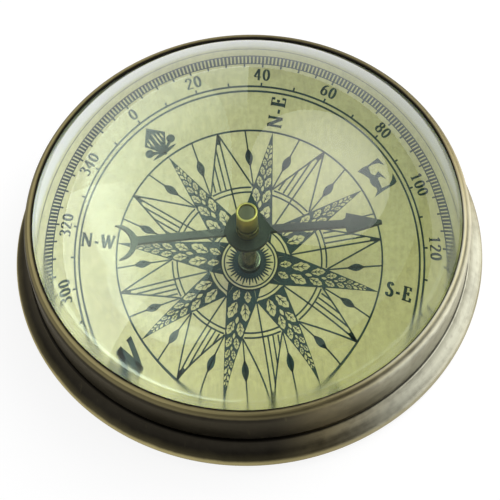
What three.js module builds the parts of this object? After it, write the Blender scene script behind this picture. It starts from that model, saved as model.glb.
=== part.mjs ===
// A desk compass and paperweight: a turned brass base with a spread foot, a printed dial in its cup,
// a balanced needle on a steel point, and a thick domed magnifying glass held down by a brass bezel.
// Millimetres, +Z up. The foot stands on z = 0 and every turned piece shares the Z axis.
import * as THREE from 'three';

// Glass
const glassRadius = 36.4; // edge of the domed glass
const glassEdge = 1.3; // height of its straight edge
const domeRadius = 42.6; // radius of the ball that the dome is cut from
const glassFit = 0.25; // room round the glass in its bezel
const lipFit = 0.15; // room between the dome and the lip over it

// Bezel ring
const bezelWall = 0.95; // wall at the top of the ring
const wallTaper = 0.2; // how much the wall draws in towards its foot
const lipOverlap = 0.4; // how far the lip reaches in over the glass
const lipLand = 0.22; // narrow land on top of the lip
const lipRise = 0.05; // height of the land over the lip's inner edge
const bezelRound = 1.95; // height of the rounded upper edge
const bezelFootLand = 0.3; // flat under the ring that stands on the base
const grooveHeight = 0.8; // height of the dark groove between ring and base

// Base: neck, shoulder, spread foot and floor
const seatWidth = 1.2; // width of the neck's top, which carries the glass
const threadFit = 0.25; // room between neck and bezel
const shoulderStep = 0.15; // how far the shoulder stands out past the ring
const shoulderRound = 0.4;
const coveHeight = 2.55; // hollow slope between foot edge and shoulder
const coveReach = 1.2; // how far the slope runs on from the foot's rounded edge
const flangeOverhang = 2.4; // how far the foot stands out past the bezel
const flangeEdgeHeight = 2.2; // height of the foot's widest circle
const flangeTopRound = 1.3;
const flangeTopTurn = 62; // degrees that the upper rounding turns through
const footRingWidth = 4.8; // flat ring that the object stands on
const recessDepth = 0.8; // turned hollow under the base
const recessSlope = 0.5;
const floorThickness = 2.2;

// Dial, spacer and packing ring
const dialThickness = 0.8;
const dialFit = 0.2; // room round the dial and the spacer in the cup
const spacerFootWidth = 5.4; // width of the spacer where it holds the dial down
const spacerTopLand = 0.4;
const spacerHeadroom = 0.2; // room between spacer and packing ring
const gasketThickness = 0.4;

// Pivot
const shankRadius = 0.8;
const shankFit = 0.15;
const postHeadRadius = 1.4;
const postHeadThickness = 0.5;
const postBaseRadius = 1;
const postTopRadius = 0.7;
const postGap = 1.2; // air between the post and the turning cap
const pinRadius = 0.35;
const pinFit = 0.1;
const pinSocketDepth = 1.6;
const pinPointLength = 1.5;
const pinPointRadius = 0.05; // the point is lightly blunted
const pinPlay = 0.12; // gap between the point and the jewel it carries

// Needle, cap and jewel
const needleTurn = 1.4; // degrees from +X at rest
const needleLift = 4.3; // underside of the needle over the dial
const needleThickness = 0.35;
const shaftWidth = 1;
const hubRadius = 2.9;
const eyeFit = 0.12;
const tipReach = 17.7;
const tipWidth = 0.4;
const barbReach = 12.9;
const barbWidth = 2.9;
const barbSweep = 0.2;
const tailReach = 14.5; // where the tail's crescent starts
const crescentThickness = 0.9;
const hornReach = 17.3;
const hornSpan = 4.9;
const capRadius = 1.46;
const capHeight = 3.05; // top of the cap over the needle
const capNeckRadius = 1.12;
const capRivetHeight = 0.3;
const capRivetRadius = 1.5;
const capHeadroom = 0.7; // air between the cap and the glass
const capRim = 0.3; // brass rim round the jewel
const capRimStand = 0.15; // height of the rim over the jewel
const jewelThickness = 0.75;
const jewelFit = 0.04;
const jewelLedge = 0.3;
const jewelCupRadius = 0.5;
const jewelCupDepth = 0.35;

// Facets of the turned pieces
const wideTurns = 72;
const narrowTurns = 28;

// Radii worked out from the sizes above
const boreRadius = glassRadius + glassFit;
const bezelRadius = boreRadius + bezelWall;
const bezelFootRadius = bezelRadius - wallTaper;
const flangeRadius = bezelRadius + flangeOverhang;
const shoulderRadius = bezelRadius + shoulderStep;
const footRadius = flangeRadius - flangeEdgeHeight;
const neckRadius = boreRadius - threadFit;
const cupRadius = neckRadius - seatWidth;
const liningRadius = cupRadius - dialFit;
const lipRadius = glassRadius - lipOverlap;
const shankHoleRadius = shankRadius + shankFit;
const jewelRadius = capRadius - capRim;

// Heights worked out from the sizes above
const dialSeat = recessDepth + floorThickness;
const dialTop = dialSeat + dialThickness;
const needleBottom = dialTop + needleLift;
const needleTop = needleBottom + needleThickness;
const capTop = needleTop + capHeight;
const glassSeat = capTop + capHeadroom;
const neckTop = glassSeat - gasketThickness;
const domeCentre = glassSeat + glassEdge - Math.sqrt(domeRadius ** 2 - glassRadius ** 2);
const flangeTop = flangeEdgeHeight + flangeTopRound * Math.sin(THREE.MathUtils.degToRad(flangeTopTurn));
const shoulderHeight = flangeTop + coveHeight;
const jewelBottom = capTop - capRimStand - jewelThickness;
const postTop = needleBottom - capRivetHeight - postGap;
const pinBottom = postTop - pinSocketDepth;
const pinTip = jewelBottom + jewelCupDepth - pinPlay;

// Finishes
const agedBrass = new THREE.MeshStandardMaterial({ color: 0x5f5a48, roughness: 0.38, metalness: 1 });
const dialBrass = new THREE.MeshStandardMaterial({ color: 0xb4b67c, roughness: 0.5, metalness: 0.6 });
const brightBrass = new THREE.MeshStandardMaterial({ color: 0xa89550, roughness: 0.35, metalness: 1 });
const darkSteel = new THREE.MeshStandardMaterial({ color: 0x3d423f, roughness: 0.45, metalness: 1 });
const polishedSteel = new THREE.MeshStandardMaterial({ color: 0xb8bcc0, roughness: 0.25, metalness: 1 });
const clearGlass = new THREE.MeshStandardMaterial({
  color: 0xeaf4ee,
  roughness: 0.02,
  metalness: 0,
  transparent: true,
  opacity: 0.3,
});
const blackRubber = new THREE.MeshStandardMaterial({ color: 0x1c1c1c, roughness: 0.9, metalness: 0 });
const agate = new THREE.MeshStandardMaterial({ color: 0x67735a, roughness: 0.2, metalness: 0 });

const point = (r, z) => new THREE.Vector2(r, z);

// Points along part of an ellipse in the turning plane, angles in degrees from the outward direction.
function roundedRun(r, z, halfWidth, halfHeight, from, to, steps) {
  const points = [];
  for (let i = 0; i <= steps; i += 1) {
    const angle = THREE.MathUtils.degToRad(from + ((to - from) * i) / steps);
    points.push(point(r + halfWidth * Math.cos(angle), z + halfHeight * Math.sin(angle)));
  }
  return points;
}

// Height of a ball concentric with the dome, grown by some room, at a distance from the axis.
function domeHeight(r, room) {
  return domeCentre + Math.sqrt((domeRadius + room) ** 2 - r ** 2);
}

// A piece turned on the lathe from its half profile.
function turnedPiece(name, profile, material, turns) {
  const geometry = new THREE.LatheGeometry(profile, turns);
  geometry.rotateX(Math.PI / 2);
  const piece = new THREE.Mesh(geometry, material);
  piece.name = name;
  return piece;
}

// A turned piece with a hole through it: its profile comes back to where it started.
function turnedRing(name, profile, material, turns) {
  return turnedPiece(name, [...profile, profile[0].clone()], material, turns);
}

// Base: foot ring, spread foot, cove, shoulder for the bezel, neck for the glass, and a cup for the dial.
function makeBase() {
  const recessRadius = footRadius - footRingWidth;
  const upperEdge = roundedRun(
    flangeRadius - flangeTopRound, flangeEdgeHeight, flangeTopRound, flangeTopRound, 0, flangeTopTurn, 4,
  );
  const edgeEnd = upperEdge[upperEdge.length - 1];
  const slope = THREE.MathUtils.degToRad(90 + flangeTopTurn);
  const coveTop = point(shoulderRadius, shoulderHeight - shoulderRound);
  const coveBend = point(edgeEnd.x + coveReach * Math.cos(slope), edgeEnd.y + coveReach * Math.sin(slope));
  const cove = new THREE.QuadraticBezierCurve(edgeEnd, coveBend, coveTop).getPoints(6);
  return turnedRing('base_body', [
    point(shankHoleRadius, recessDepth),
    point(recessRadius - recessSlope, recessDepth),
    point(recessRadius, 0),
    ...roundedRun(footRadius, flangeEdgeHeight, flangeEdgeHeight, flangeEdgeHeight, -90, 0, 6).slice(0, -1),
    ...upperEdge.slice(0, -1),
    ...cove.slice(0, -1),
    ...roundedRun(
      shoulderRadius - shoulderRound, shoulderHeight - shoulderRound, shoulderRound, shoulderRound, 0, 90, 3,
    ),
    point(neckRadius, shoulderHeight),
    point(neckRadius, neckTop),
    point(cupRadius, neckTop),
    point(cupRadius, dialSeat),
    point(shankHoleRadius, dialSeat),
  ], agedBrass, wideTurns);
}

// Bezel: a thin ring round the neck whose lip follows the dome and holds the glass down.
function makeBezel() {
  const lipEdge = domeHeight(lipRadius, lipFit);
  const ringTop = lipEdge + lipRise;
  const landRadius = lipRadius + lipLand;
  const underLip = [];
  const underLipSteps = 3;
  for (let i = 0; i <= underLipSteps; i += 1) {
    const r = lipRadius + ((boreRadius - lipRadius) * i) / underLipSteps;
    underLip.push(point(r, domeHeight(r, lipFit)));
  }
  return turnedRing('bezel_ring', [
    point(boreRadius, shoulderHeight),
    point(boreRadius + bezelFootLand, shoulderHeight),
    point(bezelFootRadius, shoulderHeight + grooveHeight),
    ...roundedRun(landRadius, ringTop - bezelRound, bezelRadius - landRadius, bezelRound, 0, 90, 7),
    ...underLip,
  ], agedBrass, wideTurns);
}

// Glass: flat below, domed above, with a short straight edge that the bezel takes hold of.
function makeGlass() {
  const edgeAngle = THREE.MathUtils.radToDeg(Math.acos(glassRadius / domeRadius));
  return turnedPiece('lens', [
    point(0, glassSeat),
    point(glassRadius, glassSeat),
    ...roundedRun(0, domeCentre, domeRadius, domeRadius, edgeAngle, 90, 14).slice(0, -1),
    point(0, domeCentre + domeRadius),
  ], clearGlass, wideTurns);
}

// Packing ring between the neck and the glass.
function makeGasket() {
  return turnedRing('lens_gasket', [
    point(cupRadius, neckTop),
    point(neckRadius, neckTop),
    point(neckRadius, glassSeat),
    point(cupRadius, glassSeat),
  ], blackRubber, wideTurns);
}

// Spacer: a ring with a coned inside that lines the cup and holds the dial's rim down.
function makeSpacer() {
  const spacerTop = neckTop - spacerHeadroom;
  return turnedRing('spacer_ring', [
    point(liningRadius - spacerFootWidth, dialTop),
    point(liningRadius, dialTop),
    point(liningRadius, spacerTop),
    point(liningRadius - spacerTopLand, spacerTop),
  ], brightBrass, wideTurns);
}

// Dial: a flat disc with a hole for the pivot post.
function makeDial() {
  return turnedRing('dial_plate', [
    point(shankHoleRadius, dialSeat),
    point(liningRadius, dialSeat),
    point(liningRadius, dialTop),
    point(shankHoleRadius, dialTop),
  ], dialBrass, wideTurns);
}

// Pivot post: its head holds the middle of the dial, its shank goes through the floor.
function makePost() {
  const headTop = dialTop + postHeadThickness;
  return turnedPiece('pivot_post', [
    point(0, recessDepth),
    point(shankRadius, recessDepth),
    point(shankRadius, dialTop),
    point(postHeadRadius, dialTop),
    point(postHeadRadius, headTop),
    point(postBaseRadius, headTop),
    point(postTopRadius, postTop),
    point(pinRadius + pinFit, postTop),
    point(pinRadius + pinFit, pinBottom),
    point(0, pinBottom),
  ], brightBrass, narrowTurns);
}

// Pivot pin: a steel point standing in the post's socket.
function makePin() {
  return turnedPiece('pivot_pin', [
    point(0, pinBottom),
    point(pinRadius, pinBottom),
    point(pinRadius, pinTip - pinPointLength),
    point(pinPointRadius, pinTip),
    point(0, pinTip),
  ], polishedSteel, narrowTurns);
}

// Needle: a flat blank with a barbed head, a round hub with an eye, and a crescent at the tail.
function makeNeedle() {
  const half = shaftWidth / 2;
  const join = Math.asin(half / hubRadius);
  const hubSteps = 12;
  const outline = new THREE.Shape();
  outline.moveTo(tipReach, -tipWidth / 2);
  outline.lineTo(tipReach, tipWidth / 2);
  outline.lineTo(barbReach, barbWidth / 2);
  outline.lineTo(barbReach - barbSweep, half);
  outline.absarc(0, 0, hubRadius, join, Math.PI - join, false);
  outline.lineTo(-tailReach, half);
  outline.quadraticCurveTo(-tailReach - crescentThickness, hornSpan / 2, -hornReach, hornSpan / 2);
  outline.quadraticCurveTo(-tailReach - crescentThickness, hornSpan / 3, -tailReach - crescentThickness, 0);
  outline.quadraticCurveTo(-tailReach - crescentThickness, -hornSpan / 3, -hornReach, -hornSpan / 2);
  outline.quadraticCurveTo(-tailReach - crescentThickness, -hornSpan / 2, -tailReach, -half);
  outline.absarc(0, 0, hubRadius, Math.PI + join, 2 * Math.PI - join, false);
  outline.lineTo(barbReach - barbSweep, -half);
  outline.lineTo(barbReach, -barbWidth / 2);
  outline.closePath();
  outline.holes.push(new THREE.Path().absarc(0, 0, capNeckRadius + eyeFit, 0, 2 * Math.PI, true));
  const geometry = new THREE.ExtrudeGeometry(outline, {
    depth: needleThickness,
    bevelEnabled: false,
    curveSegments: hubSteps,
  });
  const piece = new THREE.Mesh(geometry, darkSteel);
  piece.name = 'needle';
  piece.position.z = needleBottom;
  return piece;
}

// Cap: a turned tube riveted through the needle's eye, with a rimmed seat for the jewel on top.
function makeCap() {
  const boreOfCap = jewelRadius - jewelLedge;
  return turnedRing('needle_cap', [
    point(boreOfCap, needleBottom - capRivetHeight),
    point(capRivetRadius, needleBottom - capRivetHeight),
    point(capRivetRadius, needleBottom),
    point(capNeckRadius, needleBottom),
    point(capNeckRadius, needleTop),
    point(capRadius, needleTop),
    point(capRadius, capTop),
    point(jewelRadius, capTop),
    point(jewelRadius, jewelBottom),
    point(boreOfCap, jewelBottom),
  ], brightBrass, narrowTurns);
}

// Jewel: a small agate disc with a hollow on its underside that rides on the point.
function makeJewel() {
  const edge = jewelRadius - jewelFit;
  return turnedPiece('cap_jewel', [
    point(0, jewelBottom + jewelCupDepth),
    point(jewelCupRadius, jewelBottom),
    point(edge, jewelBottom),
    point(edge, jewelBottom + jewelThickness),
    point(0, jewelBottom + jewelThickness),
  ], agate, narrowTurns);
}

const compassCase = new THREE.Group();
compassCase.add(
  makeBase(),
  makeDial(),
  makeSpacer(),
  makePost(),
  makePin(),
  makeGasket(),
  makeGlass(),
  makeBezel(),
);

const needleAssembly = new THREE.Group();
needleAssembly.rotation.z = THREE.MathUtils.degToRad(needleTurn);
needleAssembly.add(makeNeedle(), makeCap(), makeJewel());

const compass = new THREE.Group();
compass.add(compassCase, needleAssembly);

export default compass;
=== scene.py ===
import math

import bmesh
import bpy
from mathutils import Matrix, Vector
from mathutils.geometry import delaunay_2d_cdt


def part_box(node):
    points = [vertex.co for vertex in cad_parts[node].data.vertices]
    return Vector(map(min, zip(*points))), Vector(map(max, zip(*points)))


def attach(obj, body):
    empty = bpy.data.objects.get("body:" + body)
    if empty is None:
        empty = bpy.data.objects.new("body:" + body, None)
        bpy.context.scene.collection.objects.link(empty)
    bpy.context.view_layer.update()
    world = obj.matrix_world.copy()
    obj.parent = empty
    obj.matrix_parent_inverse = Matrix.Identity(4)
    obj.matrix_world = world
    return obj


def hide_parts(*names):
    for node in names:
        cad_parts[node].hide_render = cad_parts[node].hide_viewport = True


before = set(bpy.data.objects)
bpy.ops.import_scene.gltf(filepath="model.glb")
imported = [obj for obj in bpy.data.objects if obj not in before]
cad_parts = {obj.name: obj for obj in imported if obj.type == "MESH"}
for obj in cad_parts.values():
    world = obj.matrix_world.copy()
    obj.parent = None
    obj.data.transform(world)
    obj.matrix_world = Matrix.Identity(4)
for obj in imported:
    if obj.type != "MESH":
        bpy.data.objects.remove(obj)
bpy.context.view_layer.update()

# Base: one heavy brass casting turned all over, with a spread foot, a hollow cove, a shoulder for the bezel
# and a cup for the dial. Its antique brown finish has rubbed through to gold along the foot's edge.
mm = 0.001
wide_turns = 240
crease_angle = math.radians(35)
cup_gap = 0.2
shoulder_step = 0.15
foot_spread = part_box("base_body")[1].x / mm
neck_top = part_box("base_body")[1].z / mm
dial_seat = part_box("dial_plate")[0].z / mm
cup_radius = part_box("dial_plate")[1].x / mm + cup_gap
bezel_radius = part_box("bezel_ring")[1].x / mm
shoulder_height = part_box("bezel_ring")[0].z / mm
neck_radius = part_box("lens_gasket")[1].x / mm
shoulder_radius = bezel_radius + shoulder_step
shoulder_round = 0.4
edge_height = 2.2
edge_round = 1.3
edge_turn = 62
cove_reach = 1.2
foot_ring_width = 4.8
recess_depth = 0.8
recess_slope = 0.5
recess_round = 0.15
shank_hole = 0.95
# Painted sheen: the brown brass is painted paler towards this bearing, the front right, where the side soft
# box shines.
sheen_angle = math.radians(-28)
patina_dark = (0.015, 0.013, 0.0095, 1)
patina_light = (0.034, 0.030, 0.022, 1)
# Colours of the painted sheen on the front right.
sheen_warm = (0.37, 0.31, 0.17, 1)
sheen_pale = (0.37, 0.365, 0.288, 1)
gold_dark = (0.36, 0.305, 0.14, 1)
gold_light = (0.48, 0.415, 0.20, 1)
# Painted shade for the groove under the bezel and the gap between the lip and the glass.
shade_black = (0.012, 0.0105, 0.0085, 1)
brass_glance = (0.82, 0.78, 0.68, 1)


def arc(r, z, half_width, half_height, start, stop, steps):
    """Points of part of an ellipse in the turning plane, in degrees from the outward direction."""
    angles = [math.radians(start + (stop - start) * i / steps) for i in range(steps + 1)]
    return [(r + half_width * math.cos(a), z + half_height * math.sin(a)) for a in angles]


def corner(r, z, size, start, stop, steps):
    """Points of a rounding that takes off a corner of the turning plane."""
    middle = math.radians((start + stop) / 2)
    out = math.copysign(size, math.cos(middle))
    up = math.copysign(size, math.sin(middle))
    return arc(r - out, z - up, size, size, start, stop, steps)


def bend(first, middle, last, steps):
    """Points of a smooth curve that leaves first and reaches last, drawn towards middle."""
    shares = [i / steps for i in range(steps + 1)]
    return [
        tuple((1 - t) ** 2 * a + 2 * t * (1 - t) * b + t * t * c for a, b, c in zip(first, middle, last))
        for t in shares
    ]


def piece_from(name, bm, material):
    """A new object of one material from a finished bmesh, smooth but for its sharper edges."""
    bmesh.ops.recalc_face_normals(bm, faces=bm.faces)
    mesh = bpy.data.meshes.new(name)
    bm.to_mesh(mesh)
    bm.free()
    mesh.shade_smooth()
    mesh.set_sharp_from_angle(angle=crease_angle)
    mesh.materials.append(material)
    piece = bpy.data.objects.new(name, mesh)
    bpy.context.scene.collection.objects.link(piece)
    return piece


def turned(name, profile, turns, material):
    """A piece turned about the upright axis from its profile of radii and heights in millimetres."""
    bm = bmesh.new()
    rings = []
    for radius, height in profile:
        count = turns if radius > 0 else 1
        angles = [math.tau * i / turns for i in range(count)]
        rings.append([
            bm.verts.new((radius * mm * math.cos(a), radius * mm * math.sin(a), height * mm)) for a in angles
        ])
    neighbours = list(zip(rings, rings[1:]))
    if profile[0][0] > 0:
        neighbours.append((rings[-1], rings[0]))
    for low, high in neighbours:
        for i in range(turns):
            j = (i + 1) % turns
            around = (low[i % len(low)], low[j % len(low)], high[j % len(high)], high[i % len(high)])
            corners = list(dict.fromkeys(around))
            if len(corners) > 2:
                bm.faces.new(corners)
    return piece_from(name, bm, material)


def set_inputs(tree, node, values):
    """Puts a number, a colour or a link on each named input of a node."""
    for socket, value in values.items():
        if isinstance(value, bpy.types.NodeSocket):
            tree.links.new(value, node.inputs[socket])
        else:
            node.inputs[socket].default_value = value


def add_node(tree, kind, values, **settings):
    """A new node with its settings and inputs."""
    node = tree.nodes.new(kind)
    for name, setting in settings.items():
        setattr(node, name, setting)
    set_inputs(tree, node, values)
    return node


def calc(tree, operation, a, b=0.0, c=0.0):
    """The result of one sum on up to three numbers or links."""
    return add_node(tree, "ShaderNodeMath", {0: a, 1: b, 2: c}, operation=operation).outputs[0]


def vector_calc(tree, operation, a, b=(0, 0, 0), output="Vector"):
    """The result of one sum on two vectors."""
    return add_node(tree, "ShaderNodeVectorMath", {0: a, 1: b}, operation=operation).outputs[output]


def coordinate(tree, place, axis):
    """One of a place's three coordinates."""
    return add_node(tree, "ShaderNodeSeparateXYZ", {0: place}).outputs[axis]


def ramp(tree, value, low, high, at_low=0.0, at_high=1.0):
    """A value spread smoothly from one range over another, and held at its ends."""
    values = {"Value": value, "From Min": low, "From Max": high, "To Min": at_low, "To Max": at_high}
    return add_node(tree, "ShaderNodeMapRange", values, interpolation_type="SMOOTHSTEP").outputs["Result"]


def blend(tree, first, second, share):
    """Two values mixed, the first by a share from 0 to 1 and the second by the rest."""
    return calc(tree, "MULTIPLY_ADD", first, share, calc(tree, "MULTIPLY", second, 1 - share))


# Where a mixing node has its sockets for colours.
mix_share, mix_first, mix_second, mixed = 0, 6, 7, 2


def mix_colours(tree, share, first, second):
    """Two colours mixed by a share from 0 to 1."""
    values = {mix_share: share, mix_first: first, mix_second: second}
    return add_node(tree, "ShaderNodeMix", values, data_type="RGBA").outputs[mixed]


def new_effect(name, inputs, outputs):
    """An empty node group with named number sockets."""
    tree = bpy.data.node_groups.new(name, "ShaderNodeTree")
    for label, value in inputs.items():
        tree.interface.new_socket(label, in_out="INPUT", socket_type="NodeSocketFloat").default_value = value
    for label in outputs:
        tree.interface.new_socket(label, in_out="OUTPUT", socket_type="NodeSocketFloat")
    return tree, tree.nodes.new("NodeGroupInput").outputs, tree.nodes.new("NodeGroupOutput").inputs


def own_place(tree):
    """A link to the place of a point on its own piece."""
    return add_node(tree, "ShaderNodeTexCoord", {}).outputs["Object"]


def lathe_place(tree):
    """Links to a point's distance from the axis, its height and its place."""
    place = own_place(tree)
    flat = vector_calc(tree, "MULTIPLY", place, (1, 1, 0))
    return vector_calc(tree, "LENGTH", flat, output="Value"), coordinate(tree, place, "Z"), place


def noise(tree, place, scale, detail=3.0, rough=0.5):
    """A cloudy value about 0.5 with so many waves a metre."""
    values = {"Vector": place, "Scale": scale, "Detail": detail, "Roughness": rough}
    return add_node(tree, "ShaderNodeTexNoise", values).outputs["Fac"]


def lathe_grain_effect():
    """Fine tool lines that run round the axis of a turned piece."""
    tree, given, result = new_effect("lathe_grain", {"Lines per metre": 5000.0, "Waver": 60.0}, ["Lines"])
    radius, height, place = lathe_place(tree)
    spread = {}
    for axis, distance in (("X", radius), ("Y", height)):
        waver = calc(tree, "MULTIPLY", coordinate(tree, place, axis), given["Waver"])
        spread[axis] = calc(tree, "MULTIPLY_ADD", distance, given["Lines per metre"], waver)
    lined = add_node(tree, "ShaderNodeCombineXYZ", spread).outputs[0]
    tree.links.new(noise(tree, lined, 1.0, 2.0), result["Lines"])
    return tree


def tarnish_effect():
    """Blotches of thicker and thinner tarnish, with finer mottling inside them."""
    tree, given, result = new_effect("tarnish", {"Blotches per metre": 120.0, "Contrast": 1.0}, ["Cloud"])
    place = own_place(tree)
    broad = noise(tree, place, given["Blotches per metre"], 4.0, 0.6)
    fine = noise(tree, place, calc(tree, "MULTIPLY", given["Blotches per metre"], 9.0))
    both = calc(tree, "SUBTRACT", blend(tree, broad, fine, 0.72), 0.5)
    spread = calc(tree, "MULTIPLY", both, given["Contrast"])
    tree.links.new(ramp(tree, spread, -0.22, 0.22), result["Cloud"])
    return tree


def rubbed_ring_effect():
    """Wear along a circle round the axis, where hands and cloths rub a turned edge."""
    inputs = {"Radius": 0.04, "Height": 0.002, "Width": 0.001, "Ragged": 0.5}
    tree, given, result = new_effect("rubbed_ring", inputs, ["Mask"])
    radius, height, place = lathe_place(tree)
    out = calc(tree, "SUBTRACT", radius, given["Radius"])
    up = calc(tree, "SUBTRACT", height, given["Height"])
    away = calc(tree, "SQRT", calc(tree, "MULTIPLY_ADD", out, out, calc(tree, "MULTIPLY", up, up)))
    patchy = calc(tree, "MULTIPLY_ADD", noise(tree, place, 260.0, 5.0, 0.7), 2.0, -1.0)
    ragged = calc(tree, "MULTIPLY_ADD", patchy, given["Ragged"], 1.0)
    reach = calc(tree, "MULTIPLY", given["Width"], ragged)
    tree.links.new(ramp(tree, calc(tree, "DIVIDE", away, reach), 1.0, 0.25), result["Mask"])
    return tree


def hairlines_effect():
    """Thin stray scratches in two directions."""
    tree, given, result = new_effect("hairlines", {"Amount": 0.5}, ["Mask"])
    place = own_place(tree)
    lines = []
    for turn, stretch in ((0.5, (1500.0, 38.0, 300.0)), (2.1, (1200.0, 30.0, 260.0))):
        values = {"Vector": place, "Angle": turn, "Axis": (0.2, 0.3, 0.93)}
        tilted = add_node(tree, "ShaderNodeVectorRotate", values).outputs[0]
        drawn = vector_calc(tree, "MULTIPLY", tilted, stretch)
        lines.append(ramp(tree, noise(tree, drawn, 1.0, 1.0), 0.70, 0.76))
    both = calc(tree, "MAXIMUM", *lines)
    tree.links.new(calc(tree, "MULTIPLY", both, given["Amount"]), result["Mask"])
    return tree


lathe_grain = lathe_grain_effect()
tarnish = tarnish_effect()
rubbed_ring = rubbed_ring_effect()
hairlines = hairlines_effect()


def new_finish(name):
    """A material's tree and its shader, ready for a finish to be built in it."""
    material = bpy.data.materials.new(name)
    material.use_nodes = True
    return material, material.node_tree, material.node_tree.nodes["Principled BSDF"]


def effect(tree, group, **values):
    """The first output of an effect placed in a material with its own values."""
    named = {name.replace("_", " ").capitalize(): value for name, value in values.items()}
    return add_node(tree, "ShaderNodeGroup", named, node_tree=group).outputs[0]


def bump(tree, height, depth, strength=1.0):
    """A surface normal raised by a height of so many metres."""
    values = {"Height": height, "Distance": depth, "Strength": strength}
    return add_node(tree, "ShaderNodeBump", values).outputs["Normal"]


def ring_mask(tree, radius, height, width, ragged):
    """The rubbed ring effect, with its sizes in millimetres."""
    return effect(tree, rubbed_ring, radius=radius * mm, height=height * mm, width=width * mm, ragged=ragged)


def grimed(tree, colour, rings, shade_colour):
    """A colour darkened round rings of (radius, height, width) in millimetres, as painted shade."""
    for ring in rings:
        colour = mix_colours(tree, ring_mask(tree, *ring, 0.2), colour, shade_colour)
    return colour


def browned_brass(name, worn_rings, shaded_rings):
    """Antique brown brass, worn to gold along rings of (radius, height, width, strength) in millimetres.

    A painted sheen makes the front right paler, and painted shade weakens the gold of the edges on the right.
    """
    material, tree, shader = new_finish(name)
    place = own_place(tree)
    cloud = effect(tree, tarnish, blotches_per_metre=95.0, contrast=1.1)
    lines = effect(tree, lathe_grain, lines_per_metre=4200.0, waver=45.0)
    shade = blend(tree, cloud, lines, 0.7)
    brown = mix_colours(tree, shade, patina_dark, patina_light)
    # Painted sheen: the brown is painted paler towards the front right, where the side soft box shines.
    sheen_way = (math.cos(sheen_angle), math.sin(sheen_angle), 0)
    sheen_side = vector_calc(tree, "DOT_PRODUCT", place, sheen_way, "Value")
    sheen_share = calc(tree, "MULTIPLY", ramp(tree, sheen_side, 0.019, 0.037), ramp(tree, shade, 0.2, 0.7, 0.65, 1.0))
    sheen_colour = mix_colours(tree, ramp(tree, sheen_side, 0.025, 0.036), sheen_warm, sheen_pale)
    brown = mix_colours(tree, sheen_share, brown, sheen_colour)
    worn = calc(tree, "MULTIPLY", effect(tree, hairlines, amount=0.06), cloud)
    # Painted shade: the gold of the edges is painted weaker on the right half.
    gold_shade_factor = ramp(tree, coordinate(tree, place, "X"), -0.02, 0.03, 1.0, 0.4)
    for *ring, strength in worn_rings:
        gold_edge = calc(tree, "MULTIPLY", ring_mask(tree, *ring, 0.35), strength)
        worn = calc(tree, "MAXIMUM", worn, calc(tree, "MULTIPLY", gold_edge, gold_shade_factor))
    gold = mix_colours(tree, lines, gold_dark, gold_light)
    set_inputs(tree, shader, {
        "Base Color": grimed(tree, mix_colours(tree, worn, brown, gold), shaded_rings, shade_black),
        "Roughness": ramp(tree, shade, 0.2, 0.8, 0.40, 0.50),
        "Normal": bump(tree, lines, 0.00001, 0.5),
        "Specular Tint": brass_glance,
        "Metallic": 1.0,
    })
    return material


foot_radius = foot_spread - edge_height
recess_radius = foot_radius - foot_ring_width
upper_edge = arc(foot_spread - edge_round, edge_height, edge_round, edge_round, 0, edge_turn, 14)
slope = math.radians(90 + edge_turn)
cove_bend = (
    upper_edge[-1][0] + cove_reach * math.cos(slope),
    upper_edge[-1][1] + cove_reach * math.sin(slope),
)
shoulder = corner(shoulder_radius, shoulder_height, shoulder_round, 0, 90, 8)
bezel_joint = (shoulder_radius - 0.3, shoulder_height + 0.1)
base = turned("turned_base", [
    (shank_hole, recess_depth),
    (recess_radius - recess_slope, recess_depth),
    *corner(recess_radius, 0, recess_round, 180, 270, 4),
    *corner(foot_spread, 0, edge_height, -90, 0, 20)[:-1],
    *upper_edge[:-1],
    *bend(upper_edge[-1], cove_bend, shoulder[0], 20)[:-1],
    *shoulder,
    (neck_radius, shoulder_height),
    (neck_radius, neck_top),
    (cup_radius, neck_top),
    (cup_radius, dial_seat),
    (shank_hole, dial_seat),
], wide_turns, browned_brass("browned_base", [
    (foot_spread - 0.1, edge_height, 1.05, 1.0),
    (foot_spread - 0.3, edge_height + 0.2, 1.8, 0.16),
    (foot_spread, edge_height - 0.7, 0.6, 0.2),
# Painted shade darkens the groove where the bezel sits on the base.
], [(*bezel_joint, 0.3)]))
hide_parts("base_body")
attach(base, "case")

# Dial: a thin disc of brass sheet on the floor of the cup, brushed, washed pale and lacquered before it is
# printed. Its middle is held by the head of the pivot post and its rim by the spacer.
dial_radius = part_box("dial_plate")[1].x / mm
dial_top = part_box("dial_plate")[1].z / mm
dial_edge_break = 0.08
margin_radius = 27.1
margin_fade = 0.8
margin_colour = (0.60, 0.535, 0.36, 1)
wash_dark = (0.352, 0.305, 0.116, 1)
wash_light = (0.563, 0.484, 0.194, 1)


def washed_dial():
    """Pale lacquered brass with a fine brushed grain and faint stains, whiter along its rim."""
    material, tree, shader = new_finish("washed_dial")
    radius, height, place = lathe_place(tree)
    stain = effect(tree, tarnish, blotches_per_metre=70.0, contrast=0.8)
    brushed = noise(tree, vector_calc(tree, "MULTIPLY", place, (2600.0, 420.0, 0.0)), 1.0, 2.0)
    grain = ramp(tree, blend(tree, brushed, noise(tree, place, 4200.0, 2.0), 0.5), 0.32, 0.68)
    mottle = ramp(tree, noise(tree, place, 1500.0), 0.32, 0.68)
    shade = blend(tree, stain, blend(tree, grain, mottle, 4 / 7), 0.3)
    wash = mix_colours(tree, shade, wash_dark, wash_light)
    margin = ramp(tree, radius, margin_radius * mm, (margin_radius + margin_fade) * mm)
    set_inputs(tree, shader, {
        "Base Color": mix_colours(tree, margin, wash, margin_colour),
        "Roughness": ramp(tree, grain, 0.0, 1.0, 0.45, 0.55),
        "Normal": bump(tree, grain, 0.00001, 0.4),
        "Metallic": 0.25,
    })
    return material


dial = turned("dial_disc", [
    (shank_hole, dial_seat),
    (dial_radius, dial_seat),
    (dial_radius, dial_top - dial_edge_break),
    (dial_radius - dial_edge_break, dial_top),
    (shank_hole, dial_top),
], wide_turns, washed_dial())
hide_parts("dial_plate")
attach(dial, "case")

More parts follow.
